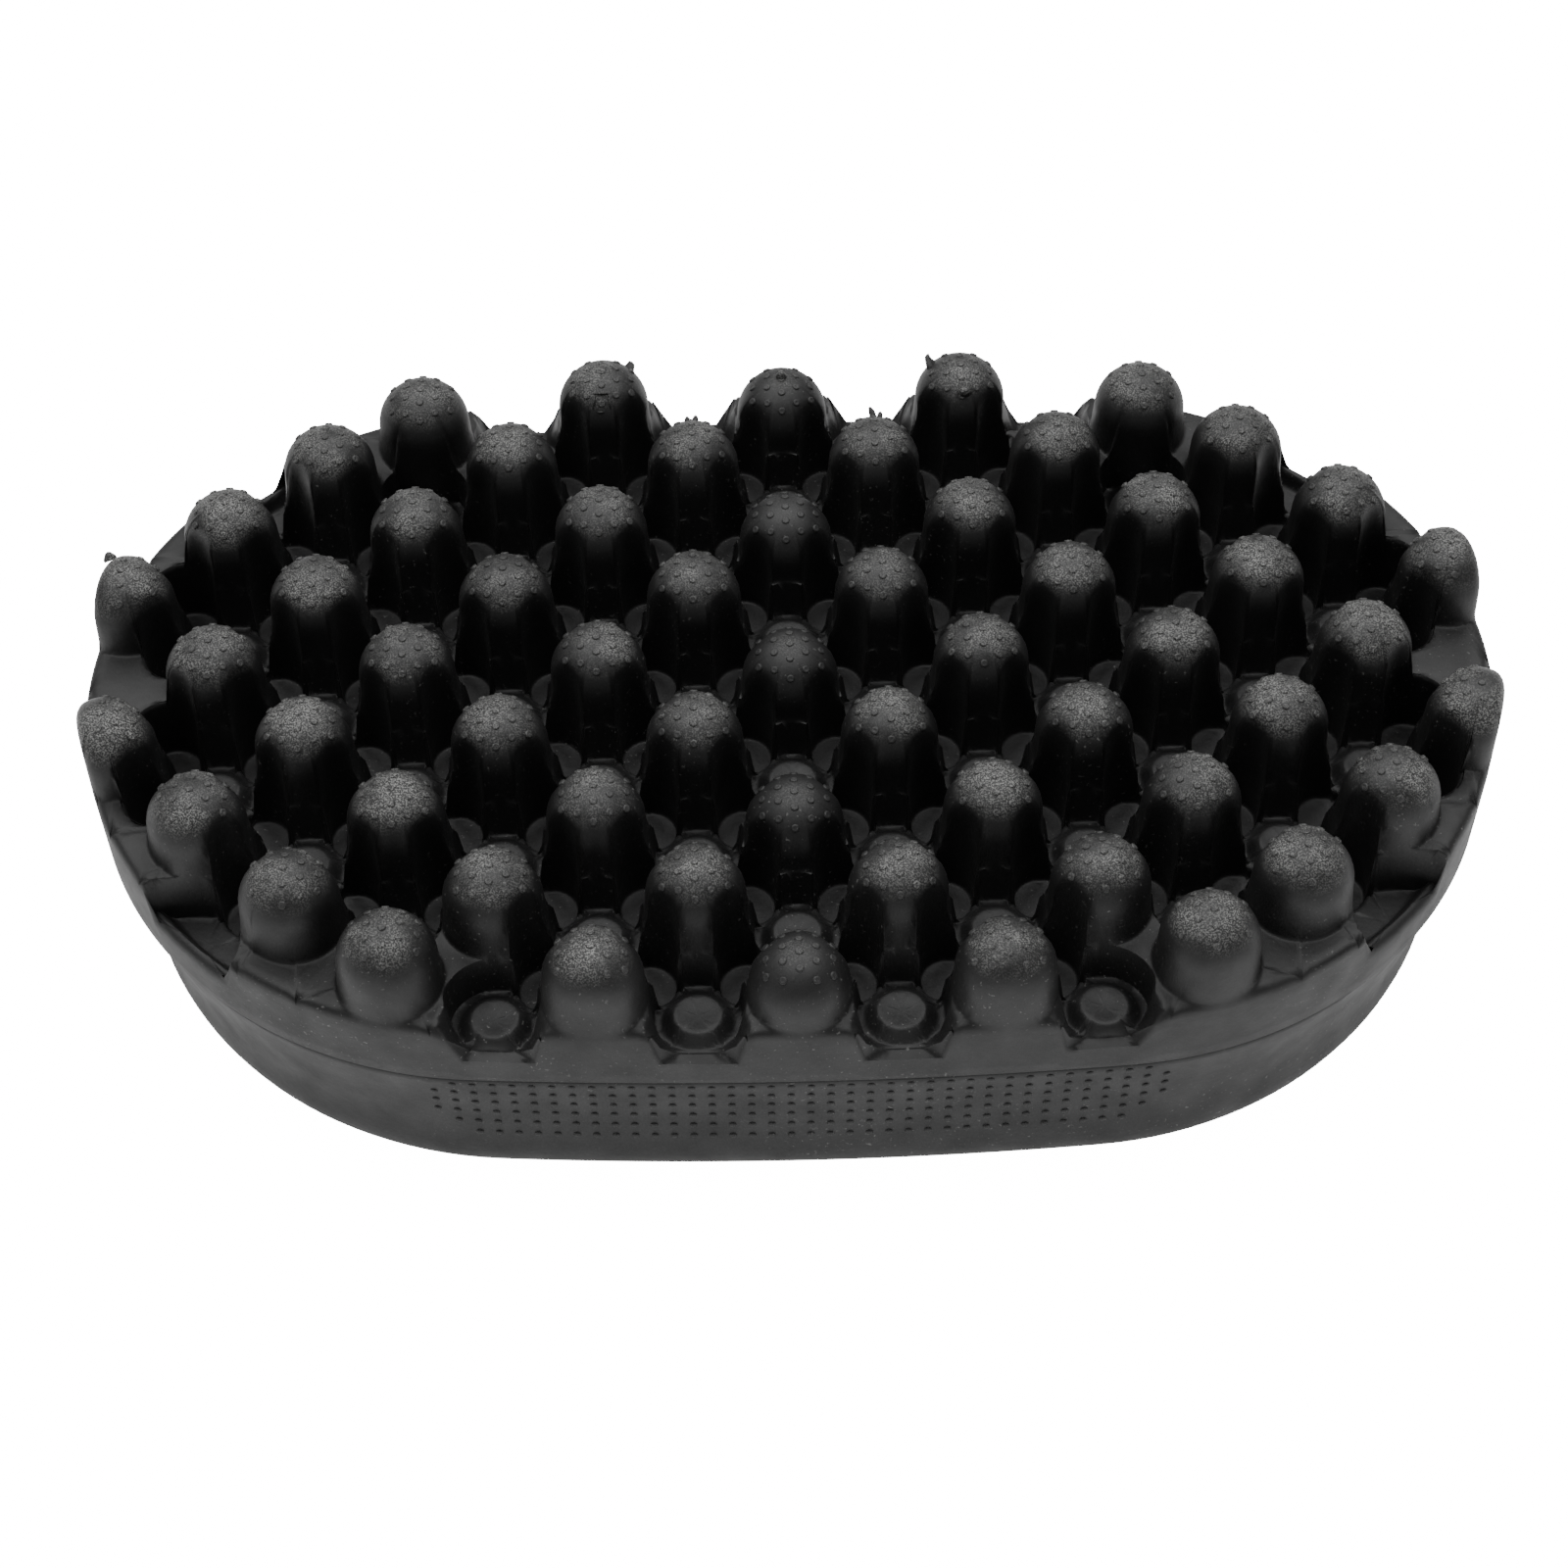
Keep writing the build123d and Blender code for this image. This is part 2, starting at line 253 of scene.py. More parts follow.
class Ground:
    """What shapes the pad's top near one place."""

    def __init__(self, x, y):
        self.nubs = [nub for nub in nubs.values() if hypot(nub[0] - x, nub[1] - y) < REACH]
        self.cups = [cup for cup in cups if hypot(cup[0] - x, cup[1] - y) < REACH]
        self.pockets = [pocket for pocket in pockets if hypot(pocket[0] - x, pocket[1] - y) < REACH]

    def deck(self, x, y, rim_inside):
        """Height of the deck with its cups, without nubs and pockets."""
        level = DECK + DECK_END_RISE * ramp(np.abs(x), DECK_RISE_FROM, DECK_RISE_TO)
        near_rim = 1 - ramp(rim_inside, *GATE_FROM_RIM)
        mouth_round = CUP_MOUTH_ROUND + GATE_MOUTH_ROUND * near_rim
        for cup_x, cup_y in self.cups:
            away = self.from_cup(x - cup_x, y - cup_y, cup_x, cup_y)
            open_share = near_rim * (abs(cup_y) == 4)
            steepness = CUP_STEEPNESS + (GATE_STEEPNESS - CUP_STEEPNESS) * open_share
            foot_radius = CUP_FOOT_RADIUS + (GATE_FOOT_RADIUS - CUP_FOOT_RADIUS) * open_share
            foot_round = CUP_FOOT_ROUND + (GATE_FOOT_ROUND - CUP_FOOT_ROUND) * open_share
            wall = CUP_FLOOR + (away - foot_radius) * steepness
            bottom = np.full_like(away, CUP_FLOOR)
            if abs(cup_x) < 6 or abs(cup_y) < 3:
                centre_away = np.hypot(x - cup_x, y - cup_y)
                shoulder = (1 - ramp(centre_away, *DISC_SHOULDER)) * (CUP_DISC - CUP_FLOOR)
                bottom = bottom + shoulder - DISC_DIMPLE_DEPTH * (1 - ramp(centre_away, *DISC_DIMPLE))
            cup = soft_max(bottom, wall, foot_round)
            level = np.where(away < CUP_REACH, soft_min(level, cup, mouth_round), level)
        corner_share = ramp(np.abs(x), *LIP_FROM_MIDDLE)
        lip = CUP_FLOOR + LIP_RISE * (1 - ramp(rim_inside, *LIP_FROM_RIM)) * corner_share
        return np.maximum(level, lip)

    def from_cup(self, dx, dy, cup_x, cup_y):
        """Distance from a cup's middle. One beside the rim is squarish on its outer side, to open there."""
        in_corner = abs(cup_x) == 6 and abs(cup_y) == 3
        round_away = np.hypot(dx, dy)
        if not in_corner and abs(cup_y) != 4:
            return round_away
        outward_x = dx * (1 if cup_x > 0 else -1) > 0
        outward_y = dy * (1 if cup_y > 0 else -1) > 0
        wide_x = np.where(outward_x & in_corner, GATE_REACH, 1.0) * np.abs(dx)
        wide_y = np.where(outward_y, GATE_REACH, 1.0) * np.abs(dy)
        square_away = (wide_x ** 4 + wide_y ** 4) ** 0.25
        return np.where(outward_y | (outward_x & in_corner), square_away, round_away)

    def heights(self, x, y):
        """Height of the pad's top, by halving: the rubber is below it and the air above it."""
        rim_inside = np.maximum(rim.inside(x, y), 1e-4)
        deck = self.deck(x, y, rim_inside)
        nub_away = [np.hypot(x - nub_x, y - nub_y) for nub_x, nub_y, crown in self.nubs]
        gate = np.zeros_like(x)
        for cup_x, cup_y in self.cups:
            if abs(cup_y) == 4:
                gate = np.maximum(gate, 1 - ramp(np.abs(x - cup_x), *GATE_HALF_WIDTH))
        rim_round = RIM_ROUND + (GATE_EDGE_ROUND - RIM_ROUND) * gate
        pocket_away = np.full_like(x, FAR)
        for pocket_x, pocket_y in self.pockets:
            pocket_away = np.minimum(pocket_away, np.hypot(x - pocket_x, y - pocket_y))
        low = np.full_like(x, SEAM + 2 * SEAM_CHAMFER)
        high = np.full_like(x, 0.8)
        for _ in range(HALVINGS):
            z = (low + high) / 2
            bullet = np.full_like(x, -FAR)
            for away, (nub_x, nub_y, crown) in zip(nub_away, self.nubs):
                dome = TIP_RADIUS - np.hypot(away, z - crown)
                shaft = TIP_RADIUS + SHAFT_DRAFT * (crown - z) - away
                bullet = np.maximum(bullet, np.where(z > crown, dome, shaft))
            body = soft_max(bullet, deck - z, FOOT_FILLET)
            pocket_radius = POCKET_FOOT_RADIUS + POCKET_DRAFT * (z - POCKET_FLOOR)
            open_side = soft_max(pocket_away - pocket_radius, POCKET_FLOOR - z, POCKET_FOOT_ROUND)
            skirt = rim_inside - GATE_SET_BACK * gate * np.clip((z - CUP_FLOOR) / GATE_SLOPE + 1, 0, 1)
            inside = soft_min(soft_min(body, open_side, FLUTE_ROUND), skirt, rim_round) > 0
            low = np.where(inside, z, low)
            high = np.where(inside, high, z)
        return (low + high) / 2


# ---------------------------------------------------------------- the parts that nubs, cups and pockets own
CLIP_STEPS = 360                                # points on each of the rim's four arcs, for clipping


def clip(outline, point, normal):
    """Keeps the part of a polygon behind a line. Each corner is (x, y, place on the rim or None)."""
    kept = []
    for start, end in zip(outline, outline[1:] + outline[:1]):
        from_start = (start[0] - point[0]) * normal[0] + (start[1] - point[1]) * normal[1]
        from_end = (end[0] - point[0]) * normal[0] + (end[1] - point[1]) * normal[1]
        if from_start <= 0:
            kept.append(start)
        if from_start * from_end < 0:
            share = from_start / (from_start - from_end)
            place = (start[2] + share * ((end[2] - start[2]) % 4)) % 4 if along_rim(start, end) else None
            kept.append((*between(start, end, share), place))
    return kept


def along_rim(start, end):
    """Whether the edge between two corners is a short step along the rim."""
    if start[2] is None or end[2] is None:
        return False
    return (end[2] - start[2]) % 4 < 2 / CLIP_STEPS


def distance(a, b):
    return hypot(a[0] - b[0], a[1] - b[1])


def between(start, end, share):
    return start[0] + share * (end[0] - start[0]), start[1] + share * (end[1] - start[1])


def owned_outline(site, weight, others):
    """The part of the pad nearest to a nub or cup, where others are (x, y, weight)."""
    x, y = site
    outline = [(*rim.point(k / CLIP_STEPS), k / CLIP_STEPS) for k in range(4 * CLIP_STEPS)]
    for other_x, other_y, other_weight in others:
        away = hypot(other_x - x, other_y - y)
        if 0 < away < 3.2:
            share = 0.5 + (weight - other_weight) / (2 * away * away)
            border = (x + share * (other_x - x), y + share * (other_y - y))
            outline = clip(outline, border, ((other_x - x) / away, (other_y - y) / away))
    before = outline[-1:] + outline[:-1]
    return [corner for corner, last in zip(outline, before) if distance(corner, last) > 1e-7]


def cross_circle(outer, inner, centre):
    """Where the way from a point outside a pocket's circle to one inside it crosses the circle."""
    edge = (inner[0] - outer[0], inner[1] - outer[1])
    start = (outer[0] - centre[0], outer[1] - centre[1])
    a = edge[0] ** 2 + edge[1] ** 2
    b = edge[0] * start[0] + edge[1] * start[1]
    c = start[0] ** 2 + start[1] ** 2 - POCKET_REACH ** 2
    share = (-b - sqrt(b * b - a * c)) / a
    return outer[0] + share * edge[0], outer[1] + share * edge[1], None


def cut_pocket(outline, centre, arcs):
    """Swaps the corners inside a pocket's circle for points along the circle, which are noted in arcs."""
    inside = [distance(corner, centre) < POCKET_REACH for corner in outline]
    if not any(inside):
        return outline
    count = len(outline)
    first = next(k for k in range(count) if inside[k] and not inside[k - 1])
    last = next(k for k in range(count) if inside[k] and not inside[(k + 1) % count])
    enter = cross_circle(outline[first - 1], outline[first], centre)
    leave = cross_circle(outline[(last + 1) % count], outline[last], centre)
    enter_angle = atan2(enter[1] - centre[1], enter[0] - centre[0])
    leave_angle = atan2(leave[1] - centre[1], leave[0] - centre[0])
    sweep = (enter_angle - leave_angle) % (2 * pi)
    steps = max(2, ceil(sweep * POCKET_REACH / EDGE_STEP * 1.35))
    arc = [enter]
    for step in range(1, steps):
        angle = enter_angle - sweep * step / steps
        arc.append((centre[0] + POCKET_REACH * cos(angle), centre[1] + POCKET_REACH * sin(angle), None))
    arc.append(leave)
    arcs.setdefault(centre, []).append(arc)
    kept = [outline[(last + 1 + k) % count] for k in range(count) if not inside[(last + 1 + k) % count]]
    return kept + [(x, y, "arc") for x, y, place in arc[:-1]] + [leave]


def with_edge_points(outline):
    """Adds evenly spaced points along the borders of a part, and thins out those along the rim."""
    count = len(outline)
    rim_edges = [on_rim_edge(outline[k], outline[(k + 1) % count]) for k in range(count)]
    first = next((k for k in range(count) if rim_edges[k] and not rim_edges[k - 1]), 0)
    points = []
    k = 0
    while k < count:
        here = outline[(first + k) % count]
        run = 0
        while k + run < count and rim_edges[(first + k + run) % count]:
            run += 1
        there = outline[(first + k + max(run, 1)) % count]
        points.append(here)
        if run:
            span = (there[2] - here[2]) % 4
            length = sum(distance(outline[(first + k + n) % count], outline[(first + k + n + 1) % count])
                         for n in range(run))
            steps = max(1, ceil(length / RIM_STEP))
            for step in range(1, steps):
                place = (here[2] + span * step / steps) % 4
                points.append((*rim.point(place), place))
        elif here[2] != "arc":
            steps = max(1, ceil(distance(here, there) / EDGE_STEP - 1e-6))
            for step in range(1, steps):
                points.append((*between(here, there, step / steps), None))
        k += max(run, 1)
    return points


def on_rim_edge(start, end):
    if isinstance(start[2], str) or isinstance(end[2], str):
        return False
    return along_rim(start, end)


# ---------------------------------------------------------------- mesh pieces
class Mesh:
    """Collects points, in pitches, and faces, and makes them into an object."""

    def __init__(self):
        self.points = []
        self.faces = []

    def add_points(self, points):
        start = len(self.points)
        self.points.extend(points)
        return list(range(start, len(self.points)))

    def bridge(self, ring, next_ring):
        count = len(ring)
        for k in range(count):
            after = (k + 1) % count
            self.faces.append((ring[k], ring[after], next_ring[after], next_ring[k]))

    def make(self, name, material, slot, weld=0.0):
        placed = [(x * PITCH, y * PITCH, z * PITCH + CROWN_Z) for x, y, z in self.points]
        mesh = bpy.data.meshes.new(name)
        mesh.from_pydata(placed, [], self.faces)
        piece = bpy.data.objects.new(name, mesh)
        bpy.context.scene.collection.objects.link(piece)
        working = bmesh.new()
        working.from_mesh(mesh)
        if weld:
            bmesh.ops.remove_doubles(working, verts=working.verts, dist=weld * PITCH)
            bmesh.ops.dissolve_degenerate(working, edges=working.edges, dist=1e-7)
        bmesh.ops.recalc_face_normals(working, faces=working.faces)
        working.to_mesh(mesh)
        working.free()
        mesh.polygons.foreach_set("use_smooth", [True] * len(mesh.polygons))
        mesh.set_sharp_from_angle(angle=radians(SHARP_ANGLE))
        mesh.materials.append(material)
        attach(piece, "root")
        return piece


def web(mesh, centre, edge, rings):
    """Meshes the part of the pad's top inside an edge, as seen from its centre."""
    ground = Ground(*centre)
    edge_x = np.array([point[0] for point in edge])
    edge_y = np.array([point[1] for point in edge])
    share = np.linspace(0, 1, FINE_STEPS + 1)[:, None]
    x = centre[0] + share * (edge_x - centre[0])
    y = centre[1] + share * (edge_y - centre[1])
    z = ground.heights(x, y)
    run = np.hypot(np.diff(x, axis=0), np.diff(y, axis=0))
    fall = np.diff(z, axis=0)
    slope = np.arctan2(fall, run)
    turn = np.abs(np.diff(slope, axis=0, prepend=slope[:1]))
    length = np.vstack([np.zeros(len(edge)), np.cumsum(np.hypot(run, fall) + BEND_WEIGHT * turn, axis=0)])
    middle = mesh.add_points([(centre[0], centre[1], float(z[0, 0]))])[0]
    inner = None
    for ring in range(1, rings + 1):
        parts = np.array([[np.interp(length[-1, spoke] * ring / rings, length[:, spoke], share[:, 0])
                           for spoke in range(len(edge))]])
        ring_x = centre[0] + parts * (edge_x - centre[0])
        ring_y = centre[1] + parts * (edge_y - centre[1])
        ring_z = ground.heights(ring_x, ring_y)
        outer = mesh.add_points(list(zip(ring_x[0].tolist(), ring_y[0].tolist(), ring_z[0].tolist())))
        if inner is None:
            for k in range(len(outer)):
                mesh.faces.append((middle, outer[k], outer[(k + 1) % len(outer)]))
        else:
            mesh.bridge(inner, outer)
        inner = outer
    return list(zip(edge, inner))


def oval_ring(mesh, outline, level, places):
    points = []
    for place in places:
        x, y = outline.point(place)
        points.append((x, y, level))
    return mesh.add_points(points)


def build_pad():
    mesh = Mesh()
    sites = [(x, y, NUB_WEIGHT) for x, y, crown in nubs.values()] + [(x, y, 0.0) for x, y in cups]
    arcs = {}
    rim_points = {}
    for x, y, weight in sites:
        outline = owned_outline((x, y), weight, sites)
        for pocket in pockets:
            if hypot(pocket[0] - x, pocket[1] - y) < 1.4:
                outline = cut_pocket(outline, pocket, arcs)
        edge = with_edge_points(outline)
        outer = web(mesh, (x, y), edge, WEB_RINGS["nub" if weight else "cup"])
        for (edge_x, edge_y, place), index in outer:
            if place is not None and place != "arc":
                rim_points[round(place, 7)] = mesh.points[index]
    for pocket, pieces in arcs.items():
        edge = []
        for arc in pieces:
            edge.extend(arc[:-1])
        edge.sort(key=lambda point: atan2(point[1] - pocket[1], point[0] - pocket[0]))
        web(mesh, pocket, edge, WEB_RINGS["pocket"])

    places = sorted(rim_points)
    top = [rim_points[place] for place in places]
    seam_outline = Oval(*SEAM_OUTLINE)
    upper = mesh.add_points(top)
    for step in range(1, SKIRT_RINGS + 1):
        share = step / SKIRT_RINGS
        points = []
        for place, (x, y, z) in zip(places, top):
            seam_x, seam_y = seam_outline.point(place)
            points.append((x + share * (seam_x - x), y + share * (seam_y - y),
                           z + share * (SEAM + SEAM_CHAMFER - z)))
        lower = mesh.add_points(points)
        mesh.bridge(upper, lower)
        upper = lower
    under = [(SEAM_OUTLINE, SEAM_CHAMFER, 0), (PLUG, 0, 0), (PLUG, 0, PLUG_DEPTH),
             (PLUG, PLUG_THICKNESS, PLUG_DEPTH), (PLUG, PLUG_THICKNESS, 0)]
    for size, inset, depth in under:
        lower = oval_ring(mesh, Oval(size[0] - inset, size[1] - inset), SEAM - depth, places)
        mesh.bridge(upper, lower)
        upper = lower
    mesh.faces.append(tuple(upper))
    return mesh


def grip_outline(level):
    """Half width and half length of the grip body, in pitches, at a level in millimetres above its base."""
    drop = (LIP_Z - level) / LIP_Z
    scoop = sin(min(drop / SCOOP_REACH, 1) * pi / 2)
    below = max(drop - SCOOP_REACH, 0) / (1 - SCOOP_REACH)
    taper = sin(min(drop / END_TAPER_REACH, 1) * pi / 2)
    rounding = 0
    if level < BASE_ROUND:
        rounding = BASE_ROUND - sqrt(BASE_ROUND ** 2 - (BASE_ROUND - level) ** 2)
    draw_in = SCOOP_DEPTH * scoop - HIP_FLARE * below + rounding
    return (LIP_HALF_WIDTH - draw_in) * MM, (LIP_HALF_LENGTH - draw_in - END_TAPER * taper) * MM


def build_grip():
    mesh = Mesh()
    places = [arc + share / steps for arc, steps in enumerate(GRIP_ARC_STEPS) for share in range(steps)]
    seam_mm = LIP_Z + SEAM_CHAMFER / MM
    lip = grip_outline(LIP_Z)
    sections = [((lip[0] - SEAM_CHAMFER, lip[1] - SEAM_CHAMFER), seam_mm)]
    wall_levels = [LIP_Z + (BASE_ROUND - LIP_Z) * k / WALL_STEPS for k in range(WALL_STEPS + 1)]
    base_levels = [BASE_ROUND * (1 - sin(pi / 2 * k / BASE_STEPS)) for k in range(1, BASE_STEPS + 1)]
    sections += [(grip_outline(level), level) for level in wall_levels + base_levels]
    upper = None
    for size, level in sections:
        lower = oval_ring(mesh, Oval(*size), BASE + level * MM, places)
        if upper:
            mesh.bridge(upper, lower)
        else:
            lip_ring = lower
        upper = lower
    mesh.faces.append(tuple(upper))

    foot_level = FLOOR_THICKNESS + CAVITY_ROUND
    ledge = (MOUTH[0] - LEDGE, MOUTH[1] - LEDGE)
    hollow = [(MOUTH, seam_mm), (MOUTH, seam_mm - MOUTH_DEPTH), (ledge, seam_mm - MOUTH_DEPTH)]
    slant = [(ledge[k] - CAVITY_FOOT[k]) / (seam_mm - MOUTH_DEPTH - FLOOR_THICKNESS) for k in (0, 1)]
    hollow.append(([CAVITY_FOOT[k] + slant[k] * CAVITY_ROUND for k in (0, 1)], foot_level))
    for step in range(1, CAVITY_STEPS + 1):
        turn = pi / 2 * step / CAVITY_STEPS
        inset = CAVITY_ROUND * (1 - cos(turn))
        size = [CAVITY_FOOT[k] + slant[k] * CAVITY_ROUND * (1 - sin(turn)) - inset for k in (0, 1)]
        hollow.append((size, foot_level - CAVITY_ROUND * sin(turn)))
    upper = lip_ring
    for size, level in hollow:
        lower = oval_ring(mesh, Oval(size[0] * MM, size[1] * MM), BASE + level * MM, places)
        mesh.bridge(upper, lower)
        upper = lower
    mesh.faces.append(tuple(upper))
    return mesh


# ---------------------------------------------------------------- small raised domes
DIMPLED = ((1.0, -0.35), (0.96, 0.5), (0.74, 1.0), (0.42, 0.78), (0.0, 0.65))
ROUND = ((1.0, -0.5), (0.96, 0.3), (0.78, 0.68), (0.42, 0.94), (0.0, 1.0))


def add_dome(mesh, centre, normal, radius, height, sides, profile):
    """A closed dome whose flat back is sunk a little below the surface it stands on.

    The profile lists (share of the radius, share of the height) from the back to the middle of the top.
    """
    normal = Vector(normal).normalized()
    across = normal.orthogonal().normalized()
    along = normal.cross(across)
    centre = Vector(centre)
    previous = None
    for width, rise in profile[:-1]:
        points = []
        for k in range(sides):
            turn = 2 * pi * k / sides
            spread = across * cos(turn) + along * sin(turn)
            points.append(tuple(centre + spread * (radius * width) + normal * (height * rise)))
        ring = mesh.add_points(points)
        if previous:
            mesh.bridge(previous, ring)
        else:
            mesh.faces.append(tuple(reversed(ring)))
        previous = ring
    top = mesh.add_points([tuple(centre + normal * (height * profile[-1][1]))])[0]
    for k in range(sides):
        mesh.faces.append((previous[k], previous[(k + 1) % sides], top))


def build_tip_bumps():
    mesh = Mesh()
    for x, y, crown in nubs.values():
        for column in range(-2, 3):
            for row in range(-3, 4):
                bump_x = BUMP_COLUMN_PITCH * column
                bump_y = BUMP_ROW_PITCH * (row + 0.5 * (column % 2))
                if hypot(bump_x, bump_y) > BUMP_FIELD:
                    continue
                bump_z = sqrt(TIP_RADIUS ** 2 - bump_x ** 2 - bump_y ** 2)
                if rim.inside(x + bump_x, y + bump_y) < BUMP_RIM_MARGIN:
                    continue
                add_dome(mesh, (x + bump_x, y + bump_y, crown + bump_z), (bump_x, bump_y, bump_z),
                         BUMP_RADIUS, BUMP_HEIGHT, 8, DIMPLED)
    return mesh


def build_grip_dots():
    mesh = Mesh()
    for row, trim in enumerate(DOT_ROW_TRIMS):
        level = LIP_Z + SEAM_CHAMFER / MM - DOT_TOP - DOT_ROW_PITCH * row
        outline = Oval(*grip_outline(level))
        for column in range(trim, DOT_COLUMNS - trim):
            x = DOT_PITCH * (column - (DOT_COLUMNS - 1) / 2) * MM
            beyond = abs(x) - outline.end_x
            if beyond > outline.end_radius * cos(outline.joint):
                y = sqrt(outline.end_radius ** 2 - beyond ** 2)
                facing_x = (beyond if x > 0 else -beyond) / outline.end_radius
            else:
                y = sqrt(outline.side_radius ** 2 - x ** 2) - outline.side_y
                facing_x = x / outline.side_radius
            lean = (grip_outline(level + 0.5)[0] - grip_outline(level - 0.5)[0]) / MM
            for side in (-1, 1):
                out = (facing_x, side * sqrt(1 - facing_x ** 2), -lean)
                place = (x, side * y, BASE + level * MM)
                add_dome(mesh, place, out, DOT_RADIUS * MM, DOT_HEIGHT * MM, 10, ROUND)
    return mesh


# ---------------------------------------------------------------- mould flash
SCRAP_ROOT = 0.02                               # how deep a scrap starts below the tip's surface
SCRAP_STATIONS = 5
SCRAP_SIDES = 12
SCRAP_CROWN = 0.012


def add_scrap(mesh, nub, turn, rise, size, lean=0.0):
    """A torn scrap of rubber on a nub's tip, at a compass angle and elevation in degrees.

    The size is its width, thickness and height. It leans to its side by a share of its height.
    """
    x, y, crown = nubs[nub]
    turn, rise = radians(turn), radians(rise)
    normal = Vector((cos(rise) * cos(turn), cos(rise) * sin(turn), sin(rise)))
    across = Vector((-sin(turn), cos(turn), 0))
    through = normal.cross(across)
    foot = Vector((x, y, crown)) + normal * (TIP_RADIUS - SCRAP_ROOT)
    width, thickness, height = size
    previous = None
    for station in range(SCRAP_STATIONS + 1):
        share = station / SCRAP_STATIONS
        middle = foot + normal * (height + SCRAP_ROOT) * share + across * (lean * height * share ** 2)
        half_width = width / 2 * (1 - 0.5 * share ** 2) * (1 + 0.12 * sin(5 * share + 3 * turn))
        half_thickness = thickness / 2 * (1 - 0.45 * share)
        points = []
        for side in range(SCRAP_SIDES):
            angle = 2 * pi * side / SCRAP_SIDES
            spread = across * (half_width * cos(angle)) + through * (half_thickness * sin(angle))
            points.append(tuple(middle + spread))
        ring = mesh.add_points(points)
        if previous:
            mesh.bridge(previous, ring)
        else:
            mesh.faces.append(tuple(reversed(ring)))
        previous = ring
    top = mesh.add_points([tuple(middle + normal * SCRAP_CROWN)])[0]
    for side in range(SCRAP_SIDES):
        mesh.faces.append((previous[side], previous[(side + 1) % SCRAP_SIDES], top))


def build_flash():
    """Scraps that the mould's vents left on a few nubs, most of them at the back edge."""
    mesh = Mesh()
    add_scrap(mesh, (-2, 4), turn=45, rise=32, size=(0.16, 0.07, 0.07), lean=0.3)
    add_scrap(mesh, (-2, 4), turn=-104, rise=45, size=(0.03, 0.20, 0.022))
    add_scrap(mesh, (-2, 4), turn=-76, rise=45, size=(0.03, 0.20, 0.022))
    add_scrap(mesh, (-2, 4), turn=-90, rise=57, size=(0.18, 0.035, 0.03))
    add_scrap(mesh, (-2, 4), turn=-92, rise=34, size=(0.12, 0.04, 0.02))
    add_scrap(mesh, (0, 4), turn=90, rise=86, size=(0.13, 0.12, 0.07))
    add_scrap(mesh, (2, 4), turn=152, rise=43, size=(0.15, 0.09, 0.10), lean=-0.5)
    add_scrap(mesh, (2, 4), turn=-85, rise=50, size=(0.17, 0.15, 0.06))
    add_scrap(mesh, (-1, 3), turn=84, rise=44, size=(0.07, 0.06, 0.05))
    add_scrap(mesh, (-1, 3), turn=98, rise=44, size=(0.07, 0.06, 0.04))
    add_scrap(mesh, (1, 3), turn=90, rise=42, size=(0.08, 0.07, 0.10), lean=0.3)
    add_scrap(mesh, (1, 3), turn=78, rise=44, size=(0.07, 0.06, 0.05))
    add_scrap(mesh, (3, 3), turn=156, rise=19, size=(0.12, 0.05, 0.09), lean=0.4)
    add_scrap(mesh, (-7, 1), turn=120, rise=50, size=(0.14, 0.06, 0.07))
    return mesh


